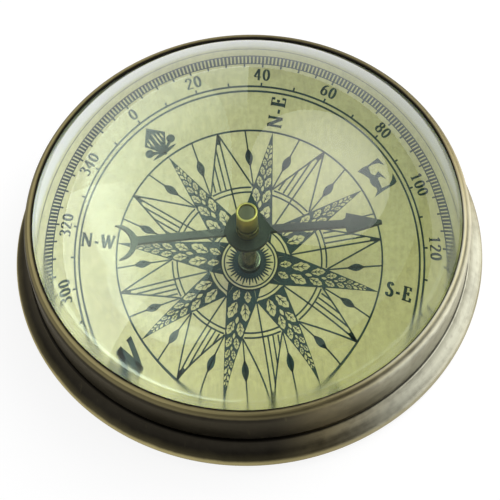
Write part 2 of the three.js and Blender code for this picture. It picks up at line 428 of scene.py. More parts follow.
# Printed scale: rings, a band of degree marks and a number every twenty degrees, screen printed in one dark
# blue-black ink. The print is a film of ink that stands a little proud of the lacquer.
north = 123.3
ink_film = 0.02
ink_top = dial_top + ink_film
scale_edge = 26.97
degree_band = (24.57, 25.73)
letter_ring = (20.97, 21.57)
number_radius = 23.1
number_height = 1.5
degree_bar_width = 0.25
tick_width = 0.2
tick_length = 0.5
bar_margins = (0.07, 0.05)
letter_tick_margin = 0.12


def at_bearing(bearing, radius):
    """The place on the dial at a compass bearing in degrees and a distance from its middle."""
    angle = math.radians(north - bearing)
    return radius * math.cos(angle), radius * math.sin(angle)


def ink_strip(bm, left, right, closed=False):
    """A film of ink between two lines of as many points, such as a ring, a bar or a pen stroke."""
    edges = []
    for line, height in ((left, dial_top), (left, ink_top), (right, ink_top), (right, dial_top)):
        edges.append([bm.verts.new((x * mm, y * mm, height * mm)) for x, y in line])
    count = len(left)
    for i in range(count if closed else count - 1):
        j = (i + 1) % count
        for near, far in zip(edges, edges[1:] + edges[:1]):
            bm.faces.new((near[i], near[j], far[j], far[i]))
    if not closed:
        for i in (0, count - 1):
            bm.faces.new([edge[i] for edge in edges])


def fill(loops):
    """Triangles inside the first loop of points and outside the others, as numbers of the points."""
    points = [Vector(point) for loop in loops for point in loop]
    numbers = iter(range(len(points)))
    faces = []
    for loop in loops:
        face = [next(numbers) for point in loop]
        turning = sum(points[a].cross(points[b]) for a, b in zip(face, face[1:] + face[:1]))
        faces.append(face if turning > 0 else face[::-1])
    result = delaunay_2d_cdt(points, [], faces, 1, 1e-6)
    return [corners for corners, inside in zip(result[2], result[5]) if list(inside) == [0]]


def plate(bm, levels):
    """A flat plate through levels of (height, loops), inside the first loop and outside the others."""
    layers = []
    for height, loops in levels:
        layers.append([[bm.verts.new((x * mm, y * mm, height * mm)) for x, y in loop] for loop in loops])
    for low, high in zip(layers, layers[1:]):
        for lower, upper in zip(low, high):
            for i in range(len(lower)):
                bm.faces.new((lower[i - 1], lower[i], upper[i], upper[i - 1]))
    triangles = fill(levels[0][1])
    for layer in (layers[0], layers[-1]):
        corners = [vertex for loop in layer for vertex in loop]
        for triangle in triangles:
            bm.faces.new([corners[i] for i in triangle])


def ink_shape(bm, loops):
    """A film of ink inside the first loop of points and outside the loops that follow it."""
    plate(bm, ((dial_top, loops), (ink_top, loops)))


def ink_arc(bm, radius, width, start=0.0, stop=360.0):
    """A ring of ink, or the part of one between two bearings."""
    whole = stop - start >= 360
    steps = max(4, round((stop - start) / 1.5))
    bearings = [start + (stop - start) * i / steps for i in range(steps if whole else steps + 1)]
    edges = [[at_bearing(b, radius + side * width / 2) for b in bearings] for side in (-1, 1)]
    ink_strip(bm, *edges, whole)


def ink_line(bm, first, last, width, end_width=None):
    """A straight line of ink, which may taper."""
    along = (Vector(last) - Vector(first)).normalized()
    across = Vector((-along.y, along.x))
    ends = ((Vector(first), width), (Vector(last), width if end_width is None else end_width))
    ink_strip(bm, [p + across * w / 2 for p, w in ends], [p - across * w / 2 for p, w in ends])


def ink_bar(bm, bearing, first, last, width, end_width=None):
    """A straight line of ink along a bearing, from one distance from the middle to another."""
    ink_line(bm, at_bearing(bearing, first), at_bearing(bearing, last), width, end_width)


def smooth_path(points, steps=6):
    """A smooth line through every one of a few points."""
    ends = [points[0], *points, points[-1]]
    path = []
    for around in zip(ends, ends[1:], ends[2:], ends[3:]):
        a, b, c, d = (Vector(point) for point in around)
        for s in range(steps):
            t = s / steps
            path.append((2 * b + (c - a) * t + (2 * a - 5 * b + 4 * c - d) * t * t
                         + (3 * b - a - 3 * c + d) * t ** 3) / 2)
    return path + [Vector(points[-1])]


def oval(x, y, half_width, half_height, steps=20):
    """Points round an upright oval."""
    return [Vector(point) for point in arc(x, y, half_width, half_height, 0, 360, steps)[:-1]]


# Pen paths of each sign, on a square of height 1. A path is drawn through its points, smoothly unless it has
# two, and "ring" closes it. The pen is broad on upright strokes and fine on level ones, as in book type.
pen_paths = {
    "0": [("ring", oval(0.3, 0.5, 0.2, 0.46))],
    "1": [("line", [(0.3, 0.0), (0.3, 1.0)]), ("line", [(0.12, 0.8), (0.3, 0.97)]),
          ("line", [(0.13, 0.03), (0.47, 0.03)])],
    "2": [("line", [(0.1, 0.74), (0.15, 0.92), (0.3, 0.97), (0.46, 0.86), (0.45, 0.66), (0.3, 0.4),
                    (0.1, 0.1)]),
          ("foot", [(0.07, 0.07), (0.54, 0.07)])],
    "3": [("line", [(0.12, 0.8), (0.2, 0.95), (0.34, 0.96), (0.45, 0.82), (0.4, 0.63), (0.24, 0.54)]),
          ("line", [(0.24, 0.54), (0.42, 0.46), (0.49, 0.27), (0.4, 0.07), (0.24, 0.02), (0.09, 0.11)])],
    "4": [("line", [(0.39, 0.0), (0.39, 1.0)]), ("line", [(0.37, 0.97), (0.06, 0.3)]),
          ("foot", [(0.05, 0.29), (0.56, 0.29)])],
    "6": [("ring", oval(0.3, 0.29, 0.19, 0.26)),
          ("line", [(0.47, 0.95), (0.28, 0.85), (0.15, 0.62), (0.11, 0.3)])],
    "8": [("ring", oval(0.3, 0.75, 0.16, 0.2)), ("ring", oval(0.3, 0.27, 0.2, 0.25))],
    "N": [("line", [(0.12, 0.0), (0.12, 1.0)]), ("bold", [(0.12, 0.98), (0.7, 0.03)]),
          ("line", [(0.7, 0.0), (0.7, 1.0)]), ("foot", [(0.0, 0.03), (0.25, 0.03)]),
          ("foot", [(0.58, 0.97), (0.83, 0.97)]), ("foot", [(0.0, 0.97), (0.2, 0.97)])],
    "E": [("bold", [(0.18, 0.0), (0.18, 1.0)]), ("foot", [(0.02, 0.97), (0.58, 0.97)]),
          ("foot", [(0.02, 0.03), (0.62, 0.03)]), ("foot", [(0.18, 0.52), (0.44, 0.52)]),
          ("line", [(0.57, 1.0), (0.57, 0.76)]), ("line", [(0.44, 0.63), (0.44, 0.41)]),
          ("line", [(0.61, 0.0), (0.63, 0.27)])],
    "S": [("bold", [(0.46, 0.8), (0.4, 0.93), (0.28, 0.96), (0.15, 0.86), (0.15, 0.69), (0.3, 0.54),
                    (0.46, 0.4), (0.5, 0.2), (0.4, 0.05), (0.26, 0.02), (0.12, 0.1), (0.1, 0.24)])],
    "W": [("bold", [(0.06, 0.98), (0.3, 0.02)]), ("line", [(0.3, 0.02), (0.52, 0.96)]),
          ("bold", [(0.5, 0.98), (0.74, 0.02)]), ("line", [(0.74, 0.02), (0.96, 0.98)]),
          ("foot", [(0.0, 0.97), (0.22, 0.97)]), ("foot", [(0.42, 0.97), (0.62, 0.97)]),
          ("foot", [(0.86, 0.97), (1.04, 0.97)])],
    "-": [("dash", [(0.05, 0.36), (0.35, 0.36)])],
}
sign_widths = {"N": 0.86, "E": 0.7, "S": 0.62, "W": 1.06, "-": 0.42}
pen_widths = {"line": (0.075, 0.17), "ring": (0.075, 0.19), "bold": (0.1, 0.24), "foot": (0.08, 0.08),
              "dash": (0.16, 0.16)}


def ink_sign(bm, sign, place):
    """One sign's pen strokes, each point put on the dial by place."""
    for pen, points in pen_paths[sign]:
        fine, broad = pen_widths[pen]
        closed = pen == "ring"
        path = [Vector(p) for p in points] if closed or len(points) == 2 else smooth_path(points)
        left = []
        right = []
        for i, point in enumerate(path):
            after = path[(i + 1) % len(path)] if closed else path[min(i + 1, len(path) - 1)]
            before = path[i - 1] if closed else path[max(i - 1, 0)]
            along = (after - before).normalized()
            half = (fine + (broad - fine) * abs(along.y)) / 2 * Vector((-along.y, along.x))
            left.append(place(point + half))
            right.append(place(point - half))
        ink_strip(bm, left, right, closed)


def ink_words(bm, words, height, middle, turn, spacing=0.06):
    """A few signs in a row, centred on a point, with their line turned by so many degrees."""
    widths = [sign_widths.get(sign, 0.6) for sign in words]
    start = -(sum(widths) + spacing * (len(words) - 1)) / 2
    along = Vector((math.cos(math.radians(turn)), math.sin(math.radians(turn))))
    upward = Vector((-along.y, along.x))
    for sign, width in zip(words, widths):
        def place(point, start=start):
            return Vector(middle) + height * ((start + point.x) * along + (point.y - 0.5) * upward)

        ink_sign(bm, sign, place)
        start += width + spacing


def blue_black_ink():
    """Dark printing ink, thinner in places, with a dull sheen."""
    material, tree, shader = new_finish("blue_black_ink")
    thin = effect(tree, tarnish, blotches_per_metre=420.0, contrast=1.0)
    set_inputs(tree, shader, {
        "Base Color": mix_colours(tree, thin, (0.003, 0.010, 0.008, 1), (0.011, 0.028, 0.021, 1)),
        "Roughness": ramp(tree, thin, 0.0, 1.0, 0.5, 0.65),
        "Specular IOR Level": 0.3,
    })
    return material


ink = blue_black_ink()
prints = []


def printed(name, bm):
    """A finished print on the dial."""
    piece = piece_from(name, bm, ink)
    prints.append(piece)
    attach(piece, "case")


scale = bmesh.new()
ring_widths = (0.1, 0.14, 0.16, 0.24, 0.24)
for radius, width in zip((scale_edge, *degree_band, *letter_ring), ring_widths):
    ink_arc(scale, radius, width)
bar_start = degree_band[0] + bar_margins[0]
bar_stop = degree_band[1] - bar_margins[1]
for bearing in range(360):
    ink_bar(scale, bearing, bar_start, bar_stop, degree_bar_width)
for bearing in range(0, 360, 5):
    ink_bar(scale, bearing, degree_band[0] - bar_margins[0], degree_band[0] - tick_length, tick_width)
for bearing in range(0, 360, 10):
    ink_bar(scale, bearing, letter_ring[1] + letter_tick_margin, letter_ring[1] + tick_length, tick_width)
for bearing in range(0, 360, 20):
    ink_words(scale, str(bearing), number_height, at_bearing(bearing, number_radius), north - bearing - 90)
printed("scale_print", scale)

# Printed letters: the names of the points between two rings, in the same ink. Those on the right half read
# outwards and those on the left half inwards, and east, south and west have one large letter each.
letter_radius = 18.65
letter_turn = 1.1
letter_height = 1.66
letter_spacing = 0.12
large_letter_height = 3.7
large_letter_radius = 18.85
east_letter_radius = 17.3
east_letter_width = 0.74
# The east letter has a broad stem with a torn left edge and wedges at the ends of its arms.
east_outline = [
    (-0.1, 1.0), (0.2, 1.02), (0.45, 0.985), (1.0, 1.02), (1.07, 0.7), (0.9, 0.86), (0.62, 0.93),
    (0.41, 0.93), (0.34, 0.7), (0.44, 0.58), (0.68, 0.64), (0.8, 0.27), (0.64, 0.45), (0.49, 0.46),
    (0.4, 0.1), (0.75, 0.06), (0.98, 0.15), (1.2, 0.33), (1.14, 0.02), (0.98, -0.02), (0.4, 0.0),
    (-0.1, -0.02), (0.15, 0.1), (0.19, 0.2), (0.1, 0.33), (0.09, 0.46), (0.16, 0.59), (0.05, 0.8),
]

letters = bmesh.new()
for words, bearing, turn in (("N-E", 45, 45), ("S-E", 135, -45), ("S-W", 225, 45), ("N-W", 315, -45)):
    place = at_bearing(bearing + letter_turn, letter_radius)
    ink_words(letters, words, letter_height, place, north - letter_turn - 90 + turn, letter_spacing)
for words, bearing in (("S", 180), ("W", 270)):
    ink_words(letters, words, large_letter_height, at_bearing(bearing, large_letter_radius), north - 90)
east_along = Vector(at_bearing(90 + letter_turn, 1.0))
east_up = Vector(at_bearing(letter_turn, 1.0))
east_foot = east_along * east_letter_radius - east_up * large_letter_height / 2
ink_shape(letters, [[
    east_foot + large_letter_height * (east_letter_width * x * east_along + y * east_up)
    for x, y in east_outline
]])
printed("letter_print", letters)

# Compass rose: eight long points filled with leaves, eight hatched points between them, and sixteen rays with
# a bud on each, inside one ring and crossed by a double ring. All of it is printed in the same ink.
rose_ring = 16.2
inner_rings = (8.73, 9.31)
rose_turn = 2.3
rose_lean = 1.8
point_spread = 0.165
centre_ring = 3.45
cell_ring = (4.5, 4.9)
half_sector = 22.5
first_leaves = 6.2
leaf_rows = 8
veined_rows = 5
leaf_lobes = 0.14
vein_end_width = 0.04
leaf_tilt = 15
# The next seven are shares of the point's half width where the leaf is.
leaf_aside = 0.48
leaf_length = 1.36
leaf_width = 0.66
leaf_step = 1.32
small_leaf_step = 0.68
small_leaf_length = 0.55
small_leaf_width = 0.24
ray_bearing = 11.25
bud_radius = 12.75
bud_length = 2.5
bud_width = 0.9
ring_width = 0.2
hatch_width = 0.19
hatch_gap = 0.05
hatch_shares = (0.25, 0.5, 0.75)
dark_tip = (0.17, 0.2, 0.09)
ray_width = 0.17
rose_ring_width = 0.22
cell_ring_width = 0.16
cell_turns = (-20, -7, 7, 20)
foot_turns = (-22, -11, 0, 11, 22)
foot_leaf_radius = 4.3
foot_leaf_aside = 0.7
foot_leaf_size = (1.45, 0.8)
foot_leaf_tilt = 16
second_ring_step = 0.41
second_ring_width = 0.18
dash_start = 1.95
dash_stop = 2.85
dash_shorter = 0.3
dash_widths = (0.28, 0.1)
hub_ring = 1.6
hub_ring_width = 0.8
# Where the sides of two neighbouring points meet.
notch = point_spread * rose_ring / (math.sin(math.pi / 8) + point_spread * math.cos(math.pi / 8))


def point_half_width(radius):
    """Half the width of a leafy point at a distance from the middle of the dial."""
    return point_spread * (rose_ring - radius)


def on_rose(bearing):
    """Where a bearing of the rose lies on the scale: the rose is printed turned, with its points uneven."""
    return bearing + rose_turn - rose_lean * math.cos(math.radians(bearing))


def rose_place(bearing, radius):
    """The place on the dial at a bearing of the rose and a distance from the middle."""
    return at_bearing(on_rose(bearing), radius)


def beside(bearing, radius, aside):
    """A place at a distance along a bearing of the rose and a little to its clockwise side."""
    out = Vector(rose_place(bearing, 1.0))
    return out * radius + Vector((out.y, -out.x)) * aside


def on_leaf(spot, tilt, u, v):
    """A place along and across a leaf that leans by so many degrees, at a (bearing, radius, aside) spot."""
    bearing, radius, aside = spot
    lean = math.radians(tilt)
    out = radius + u * math.cos(lean) - v * math.sin(lean)
    return beside(bearing, out, aside + u * math.sin(lean) + v * math.cos(lean))


def spindle(steps, half_width):
    """Shares along a shape that is pointed at both ends, and how far out it is, round both its sides."""
    there = [(i / steps, half_width(i / steps)) for i in range(steps)]
    back = [(i / steps, -half_width(i / steps)) for i in range(steps, 0, -1)]
    return there + back


def leaf(spot, length, width, tilt, lobes=0.0):
    """The outline of a leaf, with three lobes a side where wanted."""
    def half_width(t):
        return width / 2 * math.sin(math.pi * t) ** 0.8 * (1 - lobes * math.cos(6 * math.pi * t))

    return [on_leaf(spot, tilt, (t - 0.5) * length, aside) for t, aside in spindle(14, half_width)]


def leaf_veins(bm, spot, length, width, tilt):
    """A midrib and two pairs of side veins inside a pale leaf."""
    veins = [(-0.44, 0.32, 0.0, 0.16)]
    veins += [(start, start + 0.17, 0.3 * side, 0.11) for start in (-0.24, 0.0) for side in (-1, 1)]
    for start, stop, aside, thickness in veins:
        foot = on_leaf(spot, tilt, start * length, 0.0)
        end = on_leaf(spot, tilt, stop * length, aside * width)
        ink_line(bm, foot, end, thickness * width, vein_end_width)


def leafy_point(bm, bearing, foot, foot_leaves):
    """A long dark point on a foot of (turn, radius) places, with pairs of pale leaves left bare along it."""
    corners = (*foot, (half_sector, notch), (0, rose_ring), (-half_sector, notch))
    loops = [[rose_place(bearing + turn, radius) for turn, radius in corners], *foot_leaves]
    radius = first_leaves
    for row in range(leaf_rows):
        half = point_half_width(radius)
        for side in (-1, 1):
            spot = (bearing, radius, leaf_aside * half * side)
            shape = (spot, leaf_length * half, leaf_width * half, leaf_tilt * side)
            loops.append(leaf(*shape, leaf_lobes))
            if row < veined_rows:
                leaf_veins(bm, *shape)
        spot = (bearing, radius + small_leaf_step * half, 0.0)
        loops.append(leaf(spot, small_leaf_length * half, small_leaf_width * half, 0))
        radius += leaf_step * half
    ink_shape(bm, loops)


def hatched_point(bm, bearing):
    """An outlined point with a dark tip and its earlier half hatched by lines along it."""
    base_radius = inner_rings[1]
    spread = half_sector - math.degrees(point_half_width(base_radius) / base_radius)
    tip = Vector(rose_place(bearing, rose_ring))
    sides = [Vector(rose_place(bearing + turn, base_radius + ring_width / 2)) for turn in (-spread, spread)]
    for start in (*sides, beside(bearing, notch, 0.0)):
        ink_line(bm, start, tip, hatch_width)
    middle = beside(bearing, base_radius, 0.0)
    dark = [tip.lerp(end, share) for end, share in zip((sides[0], middle, sides[1]), dark_tip)]
    ink_shape(bm, [[tip, *dark]])
    reach = rose_ring - sides[0].dot(Vector(rose_place(bearing, 1.0)))
    half = (sides[0] - beside(bearing, rose_ring - reach, 0.0)).length
    for share in hatch_shares:
        start = beside(bearing, base_radius + hatch_gap, -share * half)
        ink_line(bm, start, beside(bearing, rose_ring - share * reach, -share * half), hatch_width)


def budded_ray(bm, bearing, side):
    """A thin ray beside a leafy point, with a dark bud on it."""
    foot = beside(bearing, inner_rings[1] + ring_width / 2, side * point_half_width(inner_rings[1]))
    end = Vector(rose_place(bearing + side * ray_bearing, rose_ring))
    ink_line(bm, foot, end, ray_width)
    along = (end - foot).normalized()
    across = Vector((along.y, -along.x))
    middle = foot + along * (bud_radius - inner_rings[1])

    def half_width(t):
        return bud_width / 2 * math.sin(math.pi * t ** 1.15) ** 1.3

    bud = [middle + along * (t - 0.5) * bud_length + across * aside for t, aside in spindle(9, half_width)]
    ink_shape(bm, [bud])


rose = bmesh.new()
ink_arc(rose, rose_ring, rose_ring_width)
gap = math.degrees(point_half_width(inner_rings[0]) / inner_rings[0])
for bearing in range(0, 360, 45):
    hatched_point(rose, bearing + half_sector)
    for side in (-1, 1):
        budded_ray(rose, bearing, side)
    for radius in inner_rings:
        ink_arc(rose, radius, ring_width, on_rose(bearing + gap), on_rose(bearing + 45 - gap))
    if bearing % 90 == 0:
        leafy_point(rose, bearing, [(turn, cell_ring[1]) for turn in cell_turns], [])
        ends = [on_rose(bearing + turn) for turn in (cell_turns[0], cell_turns[-1])]
        ink_arc(rose, cell_ring[0], cell_ring_width, *ends)
        for side in (-1, 1):
            wedge = ((9, centre_ring), (19, cell_ring[0]), (half_sector, notch), (22, centre_ring))
            ink_shape(rose, [[rose_place(bearing + side * turn, radius) for turn, radius in wedge]])
    else:
        foot_leaves = []
        for side in (-1, 1):
            spot = (bearing, foot_leaf_radius, foot_leaf_aside * side)
            shape = (spot, *foot_leaf_size, foot_leaf_tilt * side)
            leaf_veins(rose, *shape)
            foot_leaves.append(leaf(*shape, leaf_lobes))
        leafy_point(rose, bearing, [(turn, centre_ring) for turn in foot_turns], foot_leaves)
ink_arc(rose, centre_ring, ring_width)
ink_arc(rose, centre_ring - second_ring_step, second_ring_width)
for bearing in range(0, 360, 9):
    ink_bar(rose, bearing, dash_start, dash_stop - dash_shorter * (bearing % 2), *dash_widths)
ink_arc(rose, hub_ring, hub_ring_width)
printed("rose_print", rose)

# North mark: a plain lily of the old map kind, with a hatched middle petal, two curled side petals and a bar,
# printed at the dial's north between the rose and the double ring.
mark_foot = 16.6
mark_bar = 16.95
petal_foot = 17.25
petal_shoulder = 18.9
petal_tip = 20.65
petal_half_width = 1.5
petal_foot_half = 0.42
curl_radius = 17.85
curl_aside = 1.55
curl_half_width = 0.52
curl_half_height = 0.5
curl_stem = ((17.15, 0.25), (17.65, 1.3))
curl_stem_widths = (0.3, 0.4)
foot_stem_widths = (0.3, 0.5)
mark_bar_length = 3.5
mark_bar_width = 0.45
slit_radius = petal_shoulder - 0.1
slit_length = 2.2
slit_shorter = 1.5
slit_width = 0.2
slit_places = (-0.98, -0.56, 0.1, 0.52, 0.94)

lily = bmesh.new()
slits = [
    leaf((0, slit_radius, aside), slit_length - slit_shorter * abs(aside), slit_width, 0)
    for aside in slit_places
]
petal = (
    (petal_foot, -petal_foot_half), (petal_shoulder, -petal_half_width), (petal_tip, 0.0),
    (petal_shoulder, petal_half_width), (petal_foot, petal_foot_half),
)
ink_shape(lily, [[beside(0, radius, aside) for radius, aside in petal], *slits])
ink_line(lily, beside(0, mark_foot, 0.0), beside(0, petal_foot, 0.0), *foot_stem_widths)
for side in (-1, 1):
    curl = oval(curl_aside, curl_radius, curl_half_width, curl_half_height, 16)
    ink_shape(lily, [[beside(0, radius, side * aside) for aside, radius in curl]])
    stem = [beside(0, radius, side * aside) for radius, aside in curl_stem]
    ink_line(lily, *stem, *curl_stem_widths)
ink_shape(lily, [leaf((0, mark_bar, 0.0), mark_bar_length, mark_bar_width, 90)])
printed("north_mark", lily)

# Spacer: a turned brass ring with a coned inside, which lines the cup and holds down the rim of the dial.
# It is plain brass that has dulled a little, and the glass shows it only from low angles.
spacer_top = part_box("spacer_ring")[1].z / mm
spacer_foot_width = 5.4
spacer_top_land = 0.4
# Painted shade for the rounded top of the cap's collar.
dull_shade = (0.16, 0.13, 0.05, 1)


def dulled_brass(name, dark, light, rough, shaded_rings=()):
    """Turned brass between two colours, with tool lines, a light tarnish and rings of painted shade."""
    material, tree, shader = new_finish(name)
    cloud = effect(tree, tarnish, blotches_per_metre=220.0, contrast=0.9)
    lines = effect(tree, lathe_grain, lines_per_metre=5200.0, waver=30.0)
    colour = mix_colours(tree, blend(tree, cloud, lines, 0.6), dark, light)
    set_inputs(tree, shader, {
        "Base Color": grimed(tree, colour, shaded_rings, dull_shade),
        "Roughness": ramp(tree, cloud, 0.0, 1.0, rough, rough + 0.1),
        "Normal": bump(tree, lines, 0.00001, 0.4),
        "Metallic": 1.0,
    })
    return material


spacer = turned("spacer_cone", [
    (dial_radius - spacer_foot_width, dial_top),
    (dial_radius, dial_top),
    (dial_radius, spacer_top),
    (dial_radius - spacer_top_land, spacer_top),
], wide_turns, dulled_brass("paled_brass", (0.42, 0.41, 0.34, 1), (0.56, 0.55, 0.47, 1), 0.42))
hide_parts("spacer_ring")
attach(spacer, "case")

# Pivot post: a small polished brass stud that goes through dial and floor. Its head holds the dial's middle
# down and its narrower top is drilled for the steel point.
post_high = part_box("pivot_post")[1]
post_head_radius = post_high.x / mm
post_top = post_high.z / mm
shank_radius = 0.8
post_head_height = 0.5
post_head_top = dial_top + post_head_height
post_base_radius = 1.0
post_top_radius = 0.7
post_head_round = 0.15
post_top_round = 0.1
socket_radius = 0.45
socket_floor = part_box("pivot_pin")[0].z / mm
narrow_turns = 64

post = turned("pivot_stud", [
    (0, recess_depth),
    (shank_radius, recess_depth),
    (shank_radius, dial_top),
    (post_head_radius, dial_top),
    *corner(post_head_radius, post_head_top, post_head_round, 0, 90, 4),
    (post_base_radius, post_head_top),
    *corner(post_top_radius, post_top, post_top_round, 20, 90, 4),
    (socket_radius, post_top),
    (socket_radius, socket_floor),
    (0, socket_floor),
], narrow_turns, dulled_brass("polished_stud", (0.17, 0.165, 0.14, 1), (0.30, 0.29, 0.25, 1), 0.14))
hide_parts("pivot_post")
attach(post, "case")

# Pivot pin: a short steel point pressed into the post, ground sharp and lightly blunted, on which the jewel
# of the needle's cap turns.
pin_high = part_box("pivot_pin")[1]
pin_radius = pin_high.x / mm
pin_tip = pin_high.z / mm
pin_point_length = 1.5
pin_point_radius = 0.05
pin_blunting = 0.02


def ground_steel():
    """Bright steel with the fine rings that grinding leaves."""
    material, tree, shader = new_finish("ground_steel")
    lines = effect(tree, lathe_grain, lines_per_metre=9000.0, waver=10.0)
    set_inputs(tree, shader, {
        "Base Color": mix_colours(tree, lines, (0.36, 0.37, 0.38, 1), (0.56, 0.57, 0.58, 1)),
        "Roughness": ramp(tree, lines, 0.3, 0.7, 0.2, 0.32),
        "Metallic": 1.0,
    })
    return material


pin = turned("pivot_point", [
    (0, socket_floor),
    (pin_radius, socket_floor),
    (pin_radius, pin_tip - pin_point_length),
    (pin_point_radius, pin_tip - pin_blunting),
    (0, pin_tip),
], narrow_turns, ground_steel())
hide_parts("pivot_pin")
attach(pin, "case")

# Needle: a blank stamped from thin steel sheet and oxidised dark, with a barbed head, a round hub and a
# crescent tail. Its cut edges are slightly broken, and it turns with the cap that is riveted through its eye.
needle_turn = math.radians(1.4)
needle_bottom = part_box("needle")[0].z / mm
needle_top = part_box("needle")[1].z / mm
shaft_half = 0.5
hub_radius = 2.9
eye_radius = 1.24
tip_reach = 17.7
tip_half = 0.2
barb_reach = 12.9
barb_half = 1.45
barb_root = 12.7
tail_reach = 14.5
crescent_inside = 15.4
horn_reach = 17.3
horn_half = 2.45
edge_break = 0.03


def inset(loop, amount):
    """A closed loop of points moved towards its inside, which is on its left."""
    moved = []
    for i, point in enumerate(loop):
        before = (point - loop[i - 1]).normalized()
        after = (loop[(i + 1) % len(loop)] - point).normalized()
        inward = Vector((-before.y - after.y, before.x + after.x))
        inward.normalize()
        sharp = max(0.2, inward.dot(Vector((-after.y, after.x))))
        moved.append(point + inward * amount / sharp)
    return moved


def oxidised_steel():
    """Steel sheet oxidised almost black, thinner along stray rubs."""
    material, tree, shader = new_finish("oxidised_steel")
    cloud = effect(tree, tarnish, blotches_per_metre=260.0, contrast=1.0)
    dark = mix_colours(tree, cloud, (0.022, 0.027, 0.025, 1), (0.05, 0.058, 0.052, 1))
    set_inputs(tree, shader, {
        "Base Color": mix_colours(tree, effect(tree, hairlines, amount=0.4), dark, (0.16, 0.17, 0.15, 1)),
        "Roughness": ramp(tree, cloud, 0.0, 1.0, 0.38, 0.52),
        "Normal": bump(tree, cloud, 0.00002, 0.4),
        "Metallic": 0.7,
    })
    return material


hub_join = math.degrees(math.asin(shaft_half / hub_radius))
upper_half = [
    (tip_reach, tip_half), (barb_reach, barb_half), (barb_root, shaft_half),
    *arc(0, 0, hub_radius, hub_radius, hub_join, 180 - hub_join, 24),
    *bend((-tail_reach, shaft_half), (-crescent_inside, horn_half), (-horn_reach, horn_half), 12),
    *bend((-horn_reach, horn_half), (-crescent_inside, horn_half * 2 / 3), (-crescent_inside, 0), 12)[1:],
]
lower_half = [(x, -y) for x, y in reversed(upper_half[:-1])]
spin = Matrix.Rotation(needle_turn, 2)
outline = [spin @ Vector(point) for point in upper_half + lower_half]
needle_eye = list(reversed(oval(0, 0, eye_radius, eye_radius, 40)))
needle_levels = (
    (needle_bottom, edge_break),
    (needle_bottom + edge_break, 0),
    (needle_top - edge_break, 0),
    (needle_top, edge_break),
)
blank = bmesh.new()
plate(blank, [
    (height, [inset(loop, amount) for loop in (outline, needle_eye)]) for height, amount in needle_levels
])
needle = piece_from("stamped_needle", blank, oxidised_steel())
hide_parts("needle")
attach(needle, "needle")

# Cap: a small turned brass tube riveted through the needle's eye, open below for the point, with a rounded
# rim at the top that holds the jewel.
cap_low, cap_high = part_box("needle_cap")
cap_bottom = cap_low.z / mm
cap_top = cap_high.z / mm
cap_radius = 1.46
tube_radius = 1.4
collar_height = 0.75
collar_break = (0.05, 0.08)
collar_step = 0.06
rim_height = 0.5
cap_neck_radius = 1.12
rivet_radius = 1.5
jewel_low, jewel_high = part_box("cap_jewel")
jewel_seat = jewel_low.z / mm
jewel_bore = 1.16
cap_bore = 0.86
rim_round = 0.12
collar_round = 0.1
bore_round = 0.06

cap = turned("cap_tube", [
    (cap_bore, cap_bottom),
    *corner(rivet_radius, cap_bottom, rim_round, -90, 0, 4),
    (rivet_radius, needle_bottom),
    (cap_neck_radius, needle_bottom),
    (cap_neck_radius, needle_top),
    (cap_radius - collar_break[0], needle_top),
    (cap_radius, needle_top + collar_break[1]),
    *corner(cap_radius, needle_top + collar_height, collar_round, 0, 90, 4),
    (tube_radius, needle_top + collar_height + collar_step),
    (tube_radius, cap_top - rim_height),
    *corner(cap_radius, cap_top, rim_round, -20, 90, 6),
    *corner(jewel_bore, cap_top, bore_round, 90, 180, 3),
    (jewel_bore, jewel_seat),
    (cap_bore, jewel_seat),
], narrow_turns, dulled_brass(
    "cap_brass", (0.50, 0.385, 0.115, 1), (0.80, 0.63, 0.24, 1), 0.34,
    # Painted shade darkens the rounded top of the collar.
    [(cap_radius, needle_top + collar_height, 0.5)],
))
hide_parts("needle_cap")
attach(cap, "needle")

# Jewel: a little disc of polished grey-green agate set in the cap, flat above with a soft edge and hollowed
# below where it rides on the point.
jewel_radius = jewel_high.x / mm
jewel_top = jewel_high.z / mm
jewel_cup_radius = 0.5
jewel_cup_depth = 0.35
jewel_round = 0.1


def polished_agate():
    """Grey-green stone with faint curved bands and a soft polish."""
    material, tree, shader = new_finish("polished_agate")
    values = {"Vector": own_place(tree), "Scale": 160.0, "Distortion": 4.0, "Detail": 2.0}
    bands = add_node(tree, "ShaderNodeTexWave", values).outputs["Fac"]
    set_inputs(tree, shader, {
        "Base Color": mix_colours(tree, bands, (0.14, 0.135, 0.078, 1), (0.175, 0.168, 0.10, 1)),
        "Roughness": ramp(tree, bands, 0.0, 1.0, 0.4, 0.5),
        "Specular IOR Level": 0.4,
    })
    return material


jewel = turned("agate_jewel", [
    (0, jewel_seat + jewel_cup_depth),
    (jewel_cup_radius, jewel_seat),
    (jewel_radius, jewel_seat),
    *corner(jewel_radius, jewel_top, jewel_round, 0, 90, 4),
    (0, jewel_top),
], narrow_turns, polished_agate())
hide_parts("cap_jewel")
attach(jewel, "needle")

# Packing ring: a flat washer of thin black rubber on top of the neck, which the glass is pressed down on.
# Only its inner edge shows, as a dark line under the rim of the glass.
glass_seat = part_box("lens_gasket")[1].z / mm
packing_width = 1.2
packing_inside = neck_radius - packing_width
packing_round = 0.1


def black_rubber():
    """Matte black rubber with a faint bloom."""
    material, tree, shader = new_finish("black_packing")
    bloom = effect(tree, tarnish, blotches_per_metre=600.0, contrast=0.8)
    set_inputs(tree, shader, {
        "Base Color": mix_colours(tree, bloom, (0.012, 0.012, 0.012, 1), (0.035, 0.034, 0.033, 1)),
        "Roughness": ramp(tree, bloom, 0.0, 1.0, 0.75, 0.9),
        "Normal": bump(tree, bloom, 0.00002, 0.5),
    })
    return material


packing = turned("packing_washer", [
    (packing_inside, neck_top),
    (neck_radius, neck_top),
    *corner(neck_radius, glass_seat, packing_round, 0, 90, 3),
    *corner(packing_inside, glass_seat, packing_round, 90, 180, 3),
], wide_turns, black_rubber())
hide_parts("lens_gasket")
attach(packing, "case")

